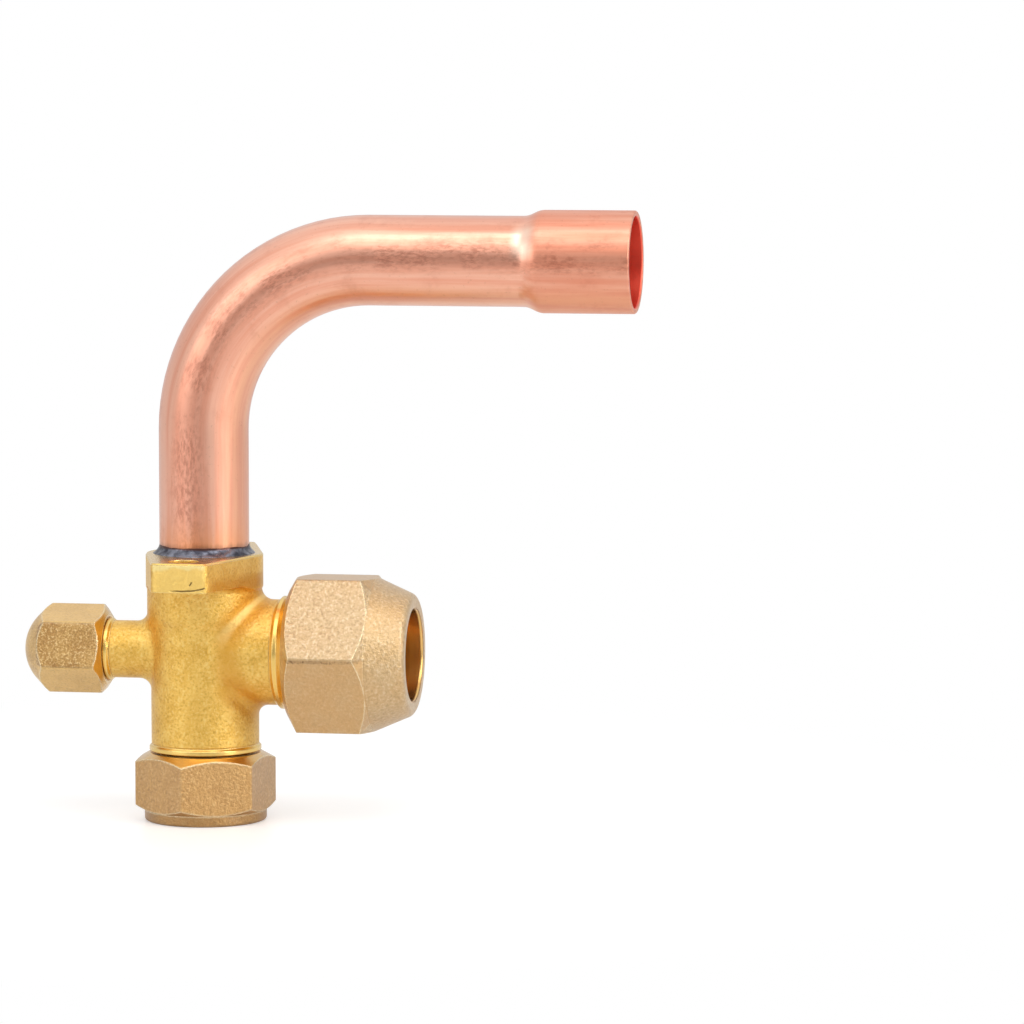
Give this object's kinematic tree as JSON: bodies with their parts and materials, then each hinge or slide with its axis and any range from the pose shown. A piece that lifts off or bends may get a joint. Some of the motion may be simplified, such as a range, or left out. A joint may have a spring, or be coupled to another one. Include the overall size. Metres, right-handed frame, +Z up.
{
  "type": "refrigerant service valve",
  "caption": "Brass angle service valve for split air conditioners: bent copper outlet tube with socket, flare nut, service port and caps",
  "frame": {"origin": "middle of the stem cap's end face, on the stem axis", "axes": "+Z up the stem and the outlet tube; +X out of the flare port and along the tube's arm; the service port points to -X and the flange's ears to +Y and -Y"},
  "size_m": [0.1098, 0.0396, 0.1086],
  "materials": {
    "forged_brass": "hot forged and fine blasted, satin, with turned edges",
    "nut_brass": "forged and blasted, coarse sparkling grain, edges rubbed bright",
    "turned_brass": "turned, fine machining rings",
    "copper": "drawn copper, semi-gloss, with darker handling and heat marks",
    "braze_alloy": "dark slate brazing alloy with a glassy skin",
    "spring_steel": "plain bright steel",
    "seal_rubber": "moulded black rubber",
    "ptfe": "natural PTFE"
  },
  "bodies": {
    "valve": {"valve_body": "forged_brass", "outlet_tube": "copper", "braze_fillet": "braze_alloy", "stem_retaining_ring": "spring_steel", "core_plug": "turned_brass", "core_barrel": "turned_brass", "core_barrel_gasket": "ptfe", "core_spring": "spring_steel"},
    "flare_nut": {"flare_nut": "nut_brass"},
    "stem_seals": {"stem_o_ring_lower": "seal_rubber", "stem_o_ring_upper": "seal_rubber"},
    "stem": {"valve_stem": "turned_brass"},
    "stem_cap_seal": {"stem_cap_gasket": "ptfe"},
    "stem_cap": {"stem_cap": "nut_brass"},
    "service_cap_seal": {"service_cap_gasket": "seal_rubber"},
    "service_cap": {"service_cap": "nut_brass"},
    "depressor": {"core_pin": "spring_steel", "core_poppet": "turned_brass", "core_seal": "seal_rubber"}
  },
  "joints": [
    {"name": "stem_travel", "type": "slide", "parent": "valve", "child": "stem_seals", "axis": [0, 0, 1], "range_m": [0, 0.0089]},
    {"name": "stem_turn", "type": "hinge", "parent": "stem_seals", "child": "stem", "pos_m": [0, 0, 0.01], "axis": [0, 0, 1], "range_deg": [0, 2570]},
    {"name": "stem_cap_travel", "type": "slide", "parent": "valve", "child": "stem_cap_seal", "axis": [0, 0, -1], "range_m": [0, 0.0081]},
    {"name": "stem_cap_turn", "type": "hinge", "parent": "stem_cap_seal", "child": "stem_cap", "pos_m": [0, 0, 0.006], "axis": [0, 0, -1], "range_deg": [0, 1950]},
    {"name": "service_cap_travel", "type": "slide", "parent": "valve", "child": "service_cap_seal", "axis": [-1, 0, 0], "range_m": [0, 0.00889]},
    {"name": "service_cap_turn", "type": "hinge", "parent": "service_cap_seal", "child": "service_cap", "pos_m": [-0.025, 0, 0.0301], "axis": [-1, 0, 0], "range_deg": [0, 2526]},
    {"name": "flare_nut_travel", "type": "slide", "parent": "valve", "child": "flare_nut", "axis": [1, 0, 0], "range_m": [0, 0.0109]},
    {"name": "depressor_press", "type": "slide", "parent": "valve", "child": "depressor", "axis": [1, 0, 0], "range_m": [0, 0.0012], "stiffness_N_per_m": 300, "springref_m": -0.004, "deforming": ["core_spring"]}
  ],
  "couplings": [
    {"joint": "stem_turn", "follows": "stem_travel", "rad_per_m": 5026.5},
    {"joint": "stem_cap_turn", "follows": "stem_cap_travel", "rad_per_m": 4188.8},
    {"joint": "service_cap_turn", "follows": "service_cap_travel", "rad_per_m": 4947.4}
  ]
}
